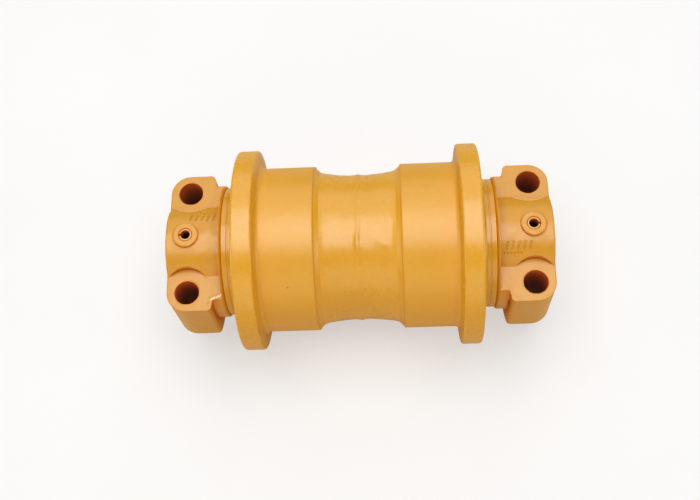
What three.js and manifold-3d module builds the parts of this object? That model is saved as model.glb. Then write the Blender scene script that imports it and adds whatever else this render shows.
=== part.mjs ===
// Track roller of a crawler excavator: a double-tread, outer-flanged roller shell that turns
// on a fixed shaft, with a cast end collar on each end that bolts up under the track frame.
// Millimetres. X is the roller's axis, +Z the bolt-head side of the collars, -Z the side of
// the track frame, and the origin is on the axis, halfway between the collars.
import * as THREE from "three";
import { mergeVertices } from "three/addons/utils/BufferGeometryUtils.js";
import Module from "manifold-3d";

const wasm = await Module();
wasm.setup();

// ---------------------------------------------------------------- driving dimensions
const TREAD_R = 90; // tread, 180 mm across
const FLANGE_R = 109.6; // outer flanges
const WAIST_R = 79; // narrowest part of the shell's waist
const BEAD_R = 80.6; // crown of the weld between the two shell halves
const TREAD_X0 = 46.5; // inner edge of a tread
const FLANGE_IN = 106.0; // inner face of a flange at its root fillet
const FLANGE_OUT = 128.8; // outer face of a flange at its rim
const HUB_R = 70; // shell hub outside the flange
const HUB_X = 144.1; // end face of the shell hub

const SHAFT_R = 36; // shaft, 72 mm across
const SHAFT_END = 205.5; // half length of the shaft
const RUN = 0.3; // gap between pieces that touch or run on each other

const BUSH_R = 40.8; // outside of a bush
const BUSH_X0 = 26; // inner end of a bush
const BUSH_X1 = 104; // inner side of a bush flange
const BUSH_FLANGE = 4; // thickness of that flange
const BUSH_FLANGE_R = 46;
const RESERVOIR_R = 45; // oil space between the two bushes

const COLLAR_X0 = 144.4; // inner face of a collar's disc
const LEDGE_X = 147.2; // where the bolt-head ledge starts
const DISC_R = 72.5; // collar disc beside the hub
const EAR_X0 = 155.8; // inner side of the ears where they leave the disc
const EAR_X0_TIP = 159.6; // and at their tips
const COLLAR_X1 = 207; // outer end of a collar
const BARREL_R = 50; // barrel of a collar round the shaft
const EAR_Y = 79; // half width over the ears
const SEAT_Z = 30; // bolt-head seats
const PAD_Z = -49; // pads that bear on the track frame
const RELIEF_Y = 34; // half width of the relief between the pads
const RELIEF = 3; // its depth
const BOLT_X = 185; // bolt pattern, 370 mm along the axis
const BOLT_Y = 58; // and 116 mm across it
const BOLT_HOLE_R = 13.2; // clearance for an M24 bolt
const SEAT_R = 26.3; // spot face round each bolt hole
const BOSS_R = 13.2; // boss round the locking pin
const BOSS_Z = 52.5;

const PIN_R = 6.8; // slotted locking pin
const PIN_BORE_R = 5.0;
const PIN_SLIT = 2.4;
const PIN_HOLE_R = 7.15;
const PIN_Z0 = -45.5;
const PIN_Z1 = 52.0;

const SEAL_X = 127.5; // plane where the two metal seal rings meet
const SEAL_IN_R = 47.8;
const SEAL_OUT_R = 57;
const TORIC_R = 54.6; // centre line of a rubber ring
const TORIC_T = 3.6; // radius of its section
const BOSS_OUT_R = 46.5; // thrust sleeve of a collar
const LIP_R = 62.5; // collar lip inside the hub's counterbore
const HUB_BORE_R = 63.5;

const GALLERY_Y = 19; // oil gallery, beside the locking pin's hole
const GALLERY_R = 5;

// ---------------------------------------------------------------- helpers
function solidOf(geometry) {
  let g = geometry.index ? geometry.toNonIndexed() : geometry.clone();
  for (const name of Object.keys(g.attributes))
    if (name !== "position") g.deleteAttribute(name);
  g = mergeVertices(g, 1e-4);
  const ix = g.index.array,
    kept = [];
  for (let i = 0; i < ix.length; i += 3)
    if (ix[i] !== ix[i + 1] && ix[i + 1] !== ix[i + 2] && ix[i] !== ix[i + 2])
      kept.push(ix[i], ix[i + 1], ix[i + 2]);
  const make = (tri) =>
    new wasm.Manifold(
      new wasm.Mesh({
        numProp: 3,
        vertProperties: new Float32Array(g.attributes.position.array),
        triVerts: new Uint32Array(tri),
      }),
    );
  const made = make(kept);
  if (made.volume() > 0) return made;
  const turned = [];
  for (let i = 0; i < kept.length; i += 3)
    turned.push(kept[i], kept[i + 2], kept[i + 1]);
  return make(turned);
}

function geometryOf(solid) {
  const m = solid.getMesh(),
    n = m.numProp,
    v = new Float32Array(m.numVert * 3);
  for (let i = 0; i < m.numVert; i++)
    v.set(m.vertProperties.subarray(i * n, i * n + 3), i * 3);
  const g = new THREE.BufferGeometry();
  g.setAttribute("position", new THREE.BufferAttribute(v, 3));
  g.setIndex(new THREE.BufferAttribute(new Uint32Array(m.triVerts), 1));
  return g;
}

// Turns a profile of [x, radius] points about the X axis. It starts and ends on the axis, or
// closes on itself.
function turned(profile, segments) {
  const onAxis = profile[0][1] === 0;
  const points = (onAxis ? profile : [...profile, profile[0]]).map(
    ([x, r]) => new THREE.Vector2(r, x),
  );
  const g = new THREE.LatheGeometry(points, segments);
  g.rotateZ(-Math.PI / 2);
  return g;
}

const mirrored = (profile) => profile.map(([x, r]) => [-x, r]);
const sided = (profile, side) => (side > 0 ? profile : mirrored(profile));

// A solid cylinder from z0 to z1 about a vertical line, or from x0 to x1 about a line along X.
function post(x, y, r, z0, z1, segments = 32) {
  const g = new THREE.CylinderGeometry(r, r, z1 - z0, segments);
  g.rotateX(Math.PI / 2);
  g.translate(x, y, (z0 + z1) / 2);
  return solidOf(g);
}
function rod(x0, x1, r, y = 0, z = 0, segments = 32) {
  const g = new THREE.CylinderGeometry(r, r, Math.abs(x1 - x0), segments);
  g.rotateZ(-Math.PI / 2);
  g.translate((x0 + x1) / 2, y, z);
  return solidOf(g);
}
function block(x0, x1, y0, y1, z0, z1) {
  const g = new THREE.BoxGeometry(Math.abs(x1 - x0), y1 - y0, z1 - z0);
  g.translate((x0 + x1) / 2, (y0 + y1) / 2, (z0 + z1) / 2);
  return solidOf(g);
}

// ---------------------------------------------------------------- materials
const paint = new THREE.MeshStandardMaterial({ color: 0xe8a534, roughness: 0.42, metalness: 0 });
const pinPaint = new THREE.MeshStandardMaterial({ color: 0xe3a03a, roughness: 0.45, metalness: 0 });
const groundSteel = new THREE.MeshStandardMaterial({ color: 0xb9bbbd, roughness: 0.28, metalness: 1 });
const bronze = new THREE.MeshStandardMaterial({ color: 0xb07a3c, roughness: 0.35, metalness: 1 });
const sealIron = new THREE.MeshStandardMaterial({ color: 0x8b8d90, roughness: 0.2, metalness: 1 });
const nitrile = new THREE.MeshStandardMaterial({ color: 0x17181a, roughness: 0.7, metalness: 0 });
const plugSteel = new THREE.MeshStandardMaterial({ color: 0x9a9483, roughness: 0.4, metalness: 1 });

const roller = new THREE.Group();
function add(name, shape, material) {
  const solid = shape.isBufferGeometry ? solidOf(shape) : shape;
  const mesh = new THREE.Mesh(geometryOf(solid), material);
  mesh.name = name;
  roller.add(mesh);
  return mesh;
}

// ---------------------------------------------------------------- roller shell
{
  const half = [
    [5, 79.1],
    [16, 79.5],
    [36, 82.9],
    [42.5, 85.8],
    [TREAD_X0, TREAD_R],
    [102, TREAD_R],
    [105.2, 92.6],
    [FLANGE_IN + 0.6, 108],
    [108, FLANGE_R],
    [126, FLANGE_R],
    [FLANGE_OUT, 106.2],
    [131.2, 78],
    [133, 72],
    [136, HUB_R],
    [137.0, HUB_R],
    [137.4, HUB_R - 0.4],
    [138.0, HUB_R - 0.4],
    [138.4, HUB_R],
    [143.0, HUB_R],
    [HUB_X, HUB_R - 1.1],
    [HUB_X, HUB_BORE_R],
    [127, HUB_BORE_R],
    [127, 59.8],
    [112.5, 57.8],
    [112.5, BUSH_FLANGE_R + 1],
    [BUSH_X1 - RUN, BUSH_FLANGE_R + 1],
    [BUSH_X1 - RUN, BUSH_R + RUN],
    [24, BUSH_R + RUN],
    [21, RESERVOIR_R],
  ];
  const outer = half.slice(0, 20),
    inner = half.slice(20);
  const profile = [
    ...mirrored(outer).reverse(),
    [0, BEAD_R],
    ...outer,
    ...inner,
    ...mirrored(inner).reverse(),
  ];
  add("roller_shell", turned(profile, 40), paint);
}

// ---------------------------------------------------------------- shaft
{
  const e = SHAFT_END;
  let s = solidOf(
    turned(
      [
        [-e, 0],
        [-e, SHAFT_R - 2],
        [-e + 2, SHAFT_R],
        [e - 2, SHAFT_R],
        [e, SHAFT_R - 2],
        [e, 0],
      ],
      40,
    ),
  );
  for (const side of [-1, 1]) {
    s = s.subtract(post(side * BOLT_X, 0, PIN_HOLE_R, -60, 60, 28));
    // lathe centre in each end face
    s = s.subtract(
      solidOf(
        turned(
          sided(
            [
              [e - 6, 0],
              [e - 6, 1.6],
              [e - 3.5, 1.6],
              [e + 0.6, 4.2],
              [e + 0.6, 0],
            ],
            side,
          ),
          16,
        ),
      ),
    );
  }
  // filling gallery from one end, and the hole that lets the oil out between the bushes
  s = s.subtract(rod(8, 191, GALLERY_R, GALLERY_Y, 0, 16));
  s = s.subtract(rod(190, e + 1, 8.8, GALLERY_Y, 0, 24));
  s = s.subtract(rod(199.4, e + 1, 11.1, GALLERY_Y, 0, 24));
  s = s.subtract(rod(202, e + 1, 12, GALLERY_Y, 0, 24));
  const cross = new THREE.CylinderGeometry(4, 4, 24, 14);
  cross.translate(13, GALLERY_Y + 12, 0);
  s = s.subtract(solidOf(cross));
  add("shaft", s, groundSteel);
}

// ---------------------------------------------------------------- oil plug and its ring
{
  let p = rod(190.6, 202.3, 8.5, GALLERY_Y, 0, 24);
  p = p.add(rod(202.2, 205.2, 10.5, GALLERY_Y, 0, 24));
  p = p.subtract(rod(198.3, 206, 5.77, GALLERY_Y, 0, 6));
  add("oil_plug", p, plugSteel);
  const ring = new THREE.TorusGeometry(9.8, 0.9, 5, 20);
  ring.rotateY(Math.PI / 2);
  ring.translate(200.8, GALLERY_Y, 0);
  add("oil_plug_o_ring", ring, nitrile);
}

// ---------------------------------------------------------------- pieces of each end
for (const side of [-1, 1]) {
  const end = side > 0 ? "right" : "left";

  // flanged bush, pressed into the shell
  add(
    "bush_" + end,
    turned(
      sided(
        [
          [BUSH_X0, SHAFT_R + RUN],
          [BUSH_X0, BUSH_R],
          [BUSH_X1, BUSH_R],
          [BUSH_X1, BUSH_FLANGE_R],
          [BUSH_X1 + BUSH_FLANGE, BUSH_FLANGE_R],
          [BUSH_X1 + BUSH_FLANGE, SHAFT_R + RUN],
        ],
        side,
      ),
      40,
    ),
    bronze,
  );

  // metal seal rings: one turns with the shell, its twin is held by the collar
  const ring = [
    [SEAL_X - 0.15, SEAL_IN_R],
    [SEAL_X - 0.15, SEAL_OUT_R],
    [SEAL_X - 4.1, SEAL_OUT_R],
    [SEAL_X - 4.3, 51.2],
    [SEAL_X - 13, 49.8],
    [SEAL_X - 13.5, SEAL_IN_R],
  ];
  const twin = ring.map(([x, r]) => [2 * SEAL_X - x, r]);
  add("seal_ring_rotating_" + end, turned(sided(ring, side), 28), sealIron);
  add("seal_ring_fixed_" + end, turned(sided(twin, side), 28), sealIron);

  // rubber rings that load and centre them
  for (const [kind, x] of [
    ["rotating", SEAL_X - 8.5],
    ["fixed", SEAL_X + 8.5],
  ]) {
    const g = new THREE.TorusGeometry(TORIC_R, TORIC_T, 6, 28);
    g.rotateY(Math.PI / 2);
    g.translate(side * x, 0, 0);
    add("toric_ring_" + kind + "_" + end, g, nitrile);
  }

  // O-ring between collar and shaft
  {
    const g = new THREE.TorusGeometry(38.4, 1.8, 5, 24);
    g.rotateY(Math.PI / 2);
    g.translate(side * 152.5, 0, 0);
    add("shaft_o_ring_" + end, g, nitrile);
  }

  // end collar
  {
    const disc = solidOf(
      turned(
        sided(
          [
            [COLLAR_X0, 30],
            [COLLAR_X0, DISC_R - 2],
            [COLLAR_X0 + 2, DISC_R],
            [EAR_X0 + 1.2, DISC_R],
            [EAR_X0 + 1.2, 30],
          ],
          side,
        ),
        48,
      ),
    );
    const barrel = solidOf(
      turned(
        sided(
          [
            [COLLAR_X0, 30],
            [COLLAR_X0, BARREL_R],
            [COLLAR_X1 - 1.5, BARREL_R],
            [COLLAR_X1, BARREL_R - 1.5],
            [COLLAR_X1, 30],
          ],
          side,
        ),
        48,
      ),
    );
    // plan of the two ears and the block between them
    const plan = new THREE.Shape();
    const xo = COLLAR_X1,
      xi = EAR_X0,
      y = EAR_Y,
      xt = EAR_X0_TIP,
      yd = 66,
      ro = 21.5,
      ri = 6;
    plan.moveTo(xt + ri, -y);
    plan.lineTo(xo - ro, -y);
    plan.absarc(xo - ro, -y + ro, ro, -Math.PI / 2, 0, false);
    plan.lineTo(xo, y - ro);
    plan.absarc(xo - ro, y - ro, ro, 0, Math.PI / 2, false);
    plan.lineTo(xt + ri, y);
    plan.quadraticCurveTo(xt + 0.6, y, xt - 0.8, y - 4.5);
    plan.lineTo(xi, yd);
    plan.lineTo(xi, -yd);
    plan.lineTo(xt - 0.8, -y + 4.5);
    plan.quadraticCurveTo(xt + 0.6, -y, xt + ri, -y);
    const g = new THREE.ExtrudeGeometry(plan, {
      depth: SEAT_Z - PAD_Z,
      bevelEnabled: false,
      curveSegments: 6,
    });
    g.translate(0, 0, PAD_Z);
    if (side < 0) g.rotateZ(Math.PI);
    let ears = solidOf(g);
    ears = ears.subtract(
      block(side * (EAR_X0 - 1), side * (COLLAR_X1 + 1), -RELIEF_Y, RELIEF_Y, PAD_Z - 1, PAD_Z + RELIEF),
    );
    // the ledge: nothing but the barrel stands above the seats outside the disc's rim
    let above = disc.add(ears).subtract(
      block(side * LEDGE_X, side * (COLLAR_X1 + 1), -100, 100, SEAT_Z, 100),
    );
    // the barrel is flush with the relief underneath
    const low = barrel.subtract(
      block(side * (EAR_X0 + 0.7), side * (COLLAR_X1 + 1), -100, 100, -100, PAD_Z + RELIEF),
    );
    let c = above.add(low);
    for (const sy of [-1, 1]) {
      c = c.subtract(post(side * BOLT_X, sy * BOLT_Y, SEAT_R, SEAT_Z, 100, 36));
      c = c.subtract(post(side * BOLT_X, sy * BOLT_Y, BOLT_HOLE_R, -100, 100, 28));
    }
    c = c.add(post(side * BOLT_X, 0, BOSS_R, 40, BOSS_Z, 28));
    // lip and thrust sleeve that reach into the shell, with the seal's seat between them
    c = c.add(
      solidOf(
        turned(
          sided(
            [
              [COLLAR_X0 + 2, 30],
              [COLLAR_X0 + 2, LIP_R],
              [128.3, LIP_R],
              [128.3, 59.8],
              [142.5, 57.8],
              [142.5, BOSS_OUT_R],
              [109.4, BOSS_OUT_R],
              [BUSH_X1 + BUSH_FLANGE + 0.4, BOSS_OUT_R - 1],
              [BUSH_X1 + BUSH_FLANGE + 0.4, 30],
            ],
            side,
          ),
          48,
        ),
      ),
    );
    // bore for the shaft, with the O-ring's groove
    c = c.subtract(
      solidOf(
        turned(
          sided(
            [
              [100, 0],
              [100, SHAFT_R + RUN],
              [150, SHAFT_R + RUN],
              [150, 40.6],
              [155, 40.6],
              [155, SHAFT_R + RUN],
              [COLLAR_X1 - 1.2, SHAFT_R + RUN],
              [COLLAR_X1 + 0.3, SHAFT_R + RUN + 1.5],
              [COLLAR_X1 + 0.3, 0],
            ],
            side,
          ),
          40,
        ),
      ),
    );
    c = c.subtract(post(side * BOLT_X, 0, PIN_HOLE_R, -60, 60, 28));
    add("end_collar_" + end, c, paint);
  }

  // slotted spring pin through collar and shaft, its slit facing the outer end
  {
    let p = post(side * BOLT_X, 0, PIN_R, PIN_Z0, PIN_Z1, 24);
    p = p.subtract(post(side * BOLT_X, 0, PIN_BORE_R, PIN_Z0 - 1, PIN_Z1 + 1, 24));
    p = p.subtract(
      block(
        side * BOLT_X,
        side * (BOLT_X + PIN_R + 1),
        -PIN_SLIT / 2,
        PIN_SLIT / 2,
        PIN_Z0 - 1,
        PIN_Z1 + 1,
      ),
    );
    add("locking_pin_" + end, p, pinPaint);
  }
}

export default roller;
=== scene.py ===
import math

import bpy
import numpy as np
from mathutils import Matrix, Vector


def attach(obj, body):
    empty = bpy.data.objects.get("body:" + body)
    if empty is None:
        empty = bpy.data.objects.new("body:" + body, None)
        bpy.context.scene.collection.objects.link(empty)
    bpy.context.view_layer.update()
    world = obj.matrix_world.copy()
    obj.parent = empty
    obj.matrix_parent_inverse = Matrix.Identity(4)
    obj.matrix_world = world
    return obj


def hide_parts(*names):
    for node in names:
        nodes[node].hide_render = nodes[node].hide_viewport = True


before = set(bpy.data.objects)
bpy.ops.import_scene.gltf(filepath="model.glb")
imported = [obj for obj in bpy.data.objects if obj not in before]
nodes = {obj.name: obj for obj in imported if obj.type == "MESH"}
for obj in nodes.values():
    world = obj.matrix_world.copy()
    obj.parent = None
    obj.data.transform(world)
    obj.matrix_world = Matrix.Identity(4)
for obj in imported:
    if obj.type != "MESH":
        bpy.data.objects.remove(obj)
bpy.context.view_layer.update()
MM = 0.001

# ------------------------------------------------------------------ mesh helpers


def make_object(name, verts, faces, sharp_deg=None, smooth=True):
    """A mesh object from vertices in mm and a list or array of faces."""
    me = bpy.data.meshes.new(name)
    verts = np.asarray(verts, dtype=np.float64) * MM
    if isinstance(faces, np.ndarray):
        n, k = faces.shape
        me.vertices.add(len(verts))
        me.vertices.foreach_set("co", verts.astype(np.float32).ravel())
        me.loops.add(n * k)
        me.loops.foreach_set("vertex_index", faces.astype(np.int32).ravel())
        me.polygons.add(n)
        me.polygons.foreach_set("loop_start", np.arange(0, n * k, k, dtype=np.int32))
        me.polygons.foreach_set("loop_total", np.full(n, k, dtype=np.int32))
        me.update(calc_edges=True)
    else:
        me.from_pydata([tuple(v) for v in verts], [], faces)
        me.update()
    me.validate()
    me.polygons.foreach_set("use_smooth", np.full(len(me.polygons), smooth))
    if sharp_deg is not None:
        me.set_sharp_from_angle(angle=math.radians(sharp_deg))
    ob = bpy.data.objects.new(name, me)
    bpy.context.scene.collection.objects.link(ob)
    return ob


def rounded(points, closed=True, arc_deg=7.5, line_step=None):
    """A profile of (x, r[, fillet radius]) with its corners rounded and long lines divided."""
    n = len(points)
    out = []
    for i, p in enumerate(points):
        rad = p[2] if len(p) > 2 else 0.0
        P = np.array(p[:2], float)
        if rad <= 0 or (not closed and i in (0, n - 1)):
            out.append(P)
            continue
        A = np.array(points[(i - 1) % n][:2], float)
        B = np.array(points[(i + 1) % n][:2], float)
        u, v = A - P, B - P
        lu, lv = np.linalg.norm(u), np.linalg.norm(v)
        u, v = u / lu, v / lv
        ang = math.acos(max(-1, min(1, float(u @ v))))
        if ang > math.pi - 1e-3:
            out.append(P)
            continue
        t = rad / math.tan(ang / 2)
        t = min(t, 0.49 * lu, 0.49 * lv)
        rr = t * math.tan(ang / 2)
        mid = (u + v) / np.linalg.norm(u + v)
        C = P + mid * (rr / math.sin(ang / 2))
        s, e = P + u * t, P + v * t
        a0 = math.atan2(*(s - C)[::-1])
        a1 = math.atan2(*(e - C)[::-1])
        d = (a1 - a0 + math.pi) % (2 * math.pi) - math.pi
        k = max(2, int(abs(math.degrees(d)) / arc_deg + 0.999))
        for j in range(k + 1):
            a = a0 + d * j / k
            out.append(C + rr * np.array([math.cos(a), math.sin(a)]))
    if line_step:
        dense = []
        m = len(out)
        last = m if closed else m - 1
        for i in range(last):
            a, b = out[i], out[(i + 1) % m]
            k = max(1, int(np.linalg.norm(b - a) / line_step + 0.5))
            dense.extend(a + (b - a) * j / k for j in range(k))
        if not closed:
            dense.append(out[-1])
        out = dense
    return np.array(out)


def lathe(name, profile, seg=192, closed=True, side=1, wobble=None, sharp=32):
    """Turns a closed (x, r) profile about X. A profile that is not closed starts and ends on the axis."""
    prof = np.array(profile, float)
    if side < 0:
        prof = prof * np.array([-1, 1])
    th = np.arange(seg) * 2 * math.pi / seg
    if closed:
        m = len(prof)
        X = np.repeat(prof[:, 0][:, None], seg, 1)
        R = np.repeat(prof[:, 1][:, None], seg, 1)
        if wobble is not None:
            R = R + wobble(X, np.broadcast_to(th, X.shape), R)
        V = np.stack([X, R * np.sin(th), R * np.cos(th)], -1).reshape(-1, 3)
        i = np.arange(m)[:, None]
        j = np.arange(seg)[None, :]
        i2, j2 = (i + 1) % m, (j + 1) % seg
        F = np.stack([i * seg + j, i2 * seg + j, i2 * seg + j2, i * seg + j2], -1).reshape(-1, 4)
        area = 0.5 * np.sum(prof[:, 0] * np.roll(prof[:, 1], -1) - np.roll(prof[:, 0], -1) * prof[:, 1])
        if area > 0:
            F = F[:, ::-1]
        F = np.ascontiguousarray(F)
        return make_object(name, V, F, sharp)
    inner = prof[1:-1]
    m = len(inner)
    X = np.repeat(inner[:, 0][:, None], seg, 1)
    R = np.repeat(inner[:, 1][:, None], seg, 1)
    V = np.stack([X, R * np.sin(th), R * np.cos(th)], -1).reshape(-1, 3)
    V = np.vstack([V, [[prof[0, 0], 0, 0], [prof[-1, 0], 0, 0]]])
    faces = []
    up = prof[-1, 0] > prof[0, 0]
    for i in range(m - 1):
        for j in range(seg):
            j2 = (j + 1) % seg
            f = [i * seg + j, (i + 1) * seg + j, (i + 1) * seg + j2, i * seg + j2]
            faces.append(f if up else f[::-1])
    a, b = m * seg, m * seg + 1
    for j in range(seg):
        j2 = (j + 1) % seg
        f = [a, j, j2]
        g = [b, (m - 1) * seg + j2, (m - 1) * seg + j]
        faces.append(f if up else f[::-1])
        faces.append(g if up else g[::-1])
    return make_object(name, V, faces, sharp)


def torus(name, x, R, r, seg=160, sec=28, side=1):
    a = np.arange(sec) * 2 * math.pi / sec
    return lathe(name, np.stack([x + r * np.cos(a), R + r * np.sin(a)], -1), seg, True, side, sharp=None)


def rotated_copy(ob, name):
    """The same piece turned half a turn about Z, as the other end's casting is."""
    me = ob.data.copy()
    me.transform(Matrix.Rotation(math.pi, 4, "Z"))
    o = bpy.data.objects.new(name, me)
    me.name = name
    bpy.context.scene.collection.objects.link(o)
    return o


# ------------------------------------------------------------------ distance fields


def smin(a, b, k):
    if k <= 0:
        return np.minimum(a, b)
    h = np.clip(k - np.abs(a - b), 0, None) / k
    return np.minimum(a, b) - h * h * k * 0.25


def smax(a, b, k):
    return -smin(-a, -b, k)


def capped(dr, dx, rr):
    """A shape from its radial and axial distances, its edges rounded by rr."""
    a, b = dr + rr, dx + rr
    return np.minimum(np.maximum(a, b), 0) + np.sqrt(np.clip(a, 0, None) ** 2 + np.clip(b, 0, None) ** 2) - rr


def cyl_x(p, r, x0, x1, rr=0.0):
    x, y, z = p
    return capped(np.sqrt(y * y + z * z) - r, np.abs(x - (x0 + x1) / 2) - (x1 - x0) / 2, rr)


def cyl_z(p, cx, cy, r, z0, z1, rr=0.0):
    x, y, z = p
    return capped(
        np.sqrt((x - cx) ** 2 + (y - cy) ** 2) - r, np.abs(z - (z0 + z1) / 2) - (z1 - z0) / 2, rr
    )


def plate(p, x0, x1, hy, r_in, r_out, z0, z1, rr):
    """A block with rounded plan corners, r_out on its +X side and r_in on its -X side."""
    x, y, z = p
    cx, hx = (x0 + x1) / 2, (x1 - x0) / 2
    rad = np.where(x > cx, r_out, r_in)
    qx = np.abs(x - cx) - hx + rad
    qy = np.abs(y) - hy + rad
    d = np.minimum(np.maximum(qx, qy), 0) + np.sqrt(np.clip(qx, 0, None) ** 2 + np.clip(qy, 0, None) ** 2) - rad
    return capped(d, np.abs(z - (z0 + z1) / 2) - (z1 - z0) / 2, rr)


def polygon(u, v, pts):
    """Signed distance to a closed polygon in the (u, v) plane, negative inside."""
    pts = np.asarray(pts, float)
    d = np.full(u.shape, 1e9, u.dtype)
    sign = np.ones(u.shape, u.dtype)
    n = len(pts)
    for i in range(n):
        ax, ay = pts[i]
        bx, by = pts[i - 1]
        ex, ey = bx - ax, by - ay
        wx, wy = u - ax, v - ay
        t = np.clip((wx * ex + wy * ey) / (ex * ex + ey * ey), 0, 1)
        dx, dy = wx - ex * t, wy - ey * t
        d = np.minimum(d, dx * dx + dy * dy)
        c1, c2, c3 = v >= ay, v < by, ex * wy > ey * wx
        flip = (c1 & c2 & c3) | (~c1 & ~c2 & ~c3)
        sign = np.where(flip, -sign, sign)
    return sign * np.sqrt(d)


def contour(name, field, lo, hi, h, sharp=32, cap=None):
    """Dual contouring: one vertex in each cell that the surface crosses, placed by its edges' tangent planes, so that
    edges stay crisp and fillets stay smooth."""
    lo = np.array(lo, float)
    n = np.ceil((np.array(hi, float) - lo) / h).astype(int) + 1
    ax = [lo[i] + h * np.arange(n[i]) for i in range(3)]
    F = np.empty(tuple(n), np.float32)
    Y, Z = np.meshgrid(ax[1], ax[2], indexing="ij")
    step = 12
    for a in range(0, n[0], step):
        xs = ax[0][a : a + step]
        X = np.broadcast_to(xs[:, None, None], (len(xs), n[1], n[2]))
        F[a : a + step] = field((X, np.broadcast_to(Y, X.shape), np.broadcast_to(Z, X.shape)))
    S = F < 0
    cells = n - 1
    cid = lambda i, j, k: (i * cells[1] + j) * cells[2] + k
    got_cells, got_p, got_n, quads = [], [], [], []
    for d in range(3):
        sl0 = [slice(None)] * 3
        sl1 = [slice(None)] * 3
        sl0[d] = slice(0, -1)
        sl1[d] = slice(1, None)
        cross = S[tuple(sl0)] != S[tuple(sl1)]
        idx = np.argwhere(cross)
        e1, e2 = (d + 1) % 3, (d + 2) % 3
        keep = (idx[:, e1] > 0) & (idx[:, e2] > 0) & (idx[:, e1] < n[e1] - 1) & (idx[:, e2] < n[e2] - 1)
        idx = idx[keep]
        nxt = idx.copy()
        nxt[:, d] += 1
        fa = F[tuple(idx.T)].astype(float)
        fb = F[tuple(nxt.T)].astype(float)
        t0, t1 = np.zeros(len(idx)), np.ones(len(idx))
        base = lo + idx * h
        for _ in range(6):  # regula falsi with halving, on the exact field
            t = np.clip(t0 + (t1 - t0) * fa / (fa - fb), t0 + 0.05 * (t1 - t0), t1 - 0.05 * (t1 - t0))
            q = base.copy()
            q[:, d] += t * h
            f = field((q[:, 0], q[:, 1], q[:, 2]))
            left = (f < 0) == (fa < 0)
            t0, fa = np.where(left, t, t0), np.where(left, f, fa)
            t1, fb = np.where(left, t1, t), np.where(left, fb, f)
        t = t0 + (t1 - t0) * fa / (fa - fb)
        q = base.copy()
        q[:, d] += t * h
        g = np.zeros_like(q)
        eps = 0.02
        for c in range(3):
            a, b = q.copy(), q.copy()
            a[:, c] += eps
            b[:, c] -= eps
            g[:, c] = field((a[:, 0], a[:, 1], a[:, 2])) - field((b[:, 0], b[:, 1], b[:, 2]))
        g /= np.linalg.norm(g, axis=1)[:, None] + 1e-12
        four = []
        for da, db in ((0, 0), (1, 0), (1, 1), (0, 1)):
            c = idx.copy()
            c[:, e1] -= da
            c[:, e2] -= db
            ids = cid(c[:, 0], c[:, 1], c[:, 2])
            four.append(ids)
            got_cells.append(ids)
            got_p.append(q)
            got_n.append(g)
        quad = np.stack(four, 1)
        inside_first = S[tuple(idx.T)]
        quad[~inside_first] = quad[~inside_first][:, ::-1]
        quads.append(quad)
    C = np.concatenate(got_cells)
    P = np.concatenate(got_p)
    N = np.concatenate(got_n)
    uniq, inv = np.unique(C, return_inverse=True)
    m = len(uniq)
    cnt = np.bincount(inv, minlength=m).astype(float)
    mass = np.stack([np.bincount(inv, P[:, c], m) / cnt for c in range(3)], 1)
    rel = P - mass[inv]
    b = np.sum(rel * N, 1)
    A = np.zeros((m, 3, 3))
    B = np.zeros((m, 3))
    for i in range(3):
        B[:, i] = np.bincount(inv, N[:, i] * b, m)
        for j in range(3):
            A[:, i, j] = np.bincount(inv, N[:, i] * N[:, j], m)
    w, U = np.linalg.eigh(A)
    big = w > 0.08 * w[:, 2:3]
    wi = np.where(big, 1 / np.maximum(w, 1e-9), 0)
    y = np.einsum("nij,ni->nj", U, B) * wi
    off = np.einsum("nij,nj->ni", U, y)
    V = mass + off
    ijk = np.stack(np.unravel_index(uniq, tuple(cells)), 1)
    c0 = lo + ijk * h
    V = np.clip(V, c0 - 0.1 * h, c0 + 1.1 * h)
    if cap is not None:
        V[:, 0] = np.minimum(V[:, 0], cap)
    Q = np.concatenate(quads)
    Q = np.searchsorted(uniq, Q)
    return make_object(name, V, np.ascontiguousarray(Q), sharp)


# ------------------------------------------------------------------ roller shell

WAIST = [
    (5.6, 79.2, 3.0),
    (10.0, 79.25, 12),
    (19.0, 80.0, 40),
    (28.0, 81.0, 40),
    (36.0, 82.1, 20),
    (40.6, 83.5, 3.5),
    (44.9, 87.4, 3.0),
    (46.4, 90.0, 0.7),
]
OUTSIDE = WAIST + [
    (104.7, 90.0, 4.6),
    (107.4, 109.6, 2.0),
    (128.7, 109.6, 3.0),
    (131.2, 76.0, 20),
    (131.8, 70.0, 4.0),
    (136.9, 70.0, 0.3),
    (137.3, 69.5, 0.25),
    (138.2, 69.5, 0.25),
    (138.6, 70.0, 0.3),
    (144.2, 70.0, 0.9),
]
INSIDE = [
    (144.2, 63.5, 0.8),
    (127.0, 63.5, 0.6),
    (127.0, 59.8, 0.5),
    (112.5, 57.8, 1.2),
    (112.5, 47.0, 0.5),
    (103.7, 47.0, 0.5),
    (103.7, 41.1, 0.4),
    (24.0, 41.1, 0.6),
    (20.5, 45.0, 1.0),
]


def flip(points):
    return [(-p[0], p[1], p[2]) for p in reversed(points)]


def ring_noise(theta, seed, freqs):
    rng = np.random.RandomState(seed)
    out = np.zeros_like(theta)
    for f, a in freqs:
        out = out + a * np.sin(f * theta + rng.uniform(0, 2 * math.pi))
    return out


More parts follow.
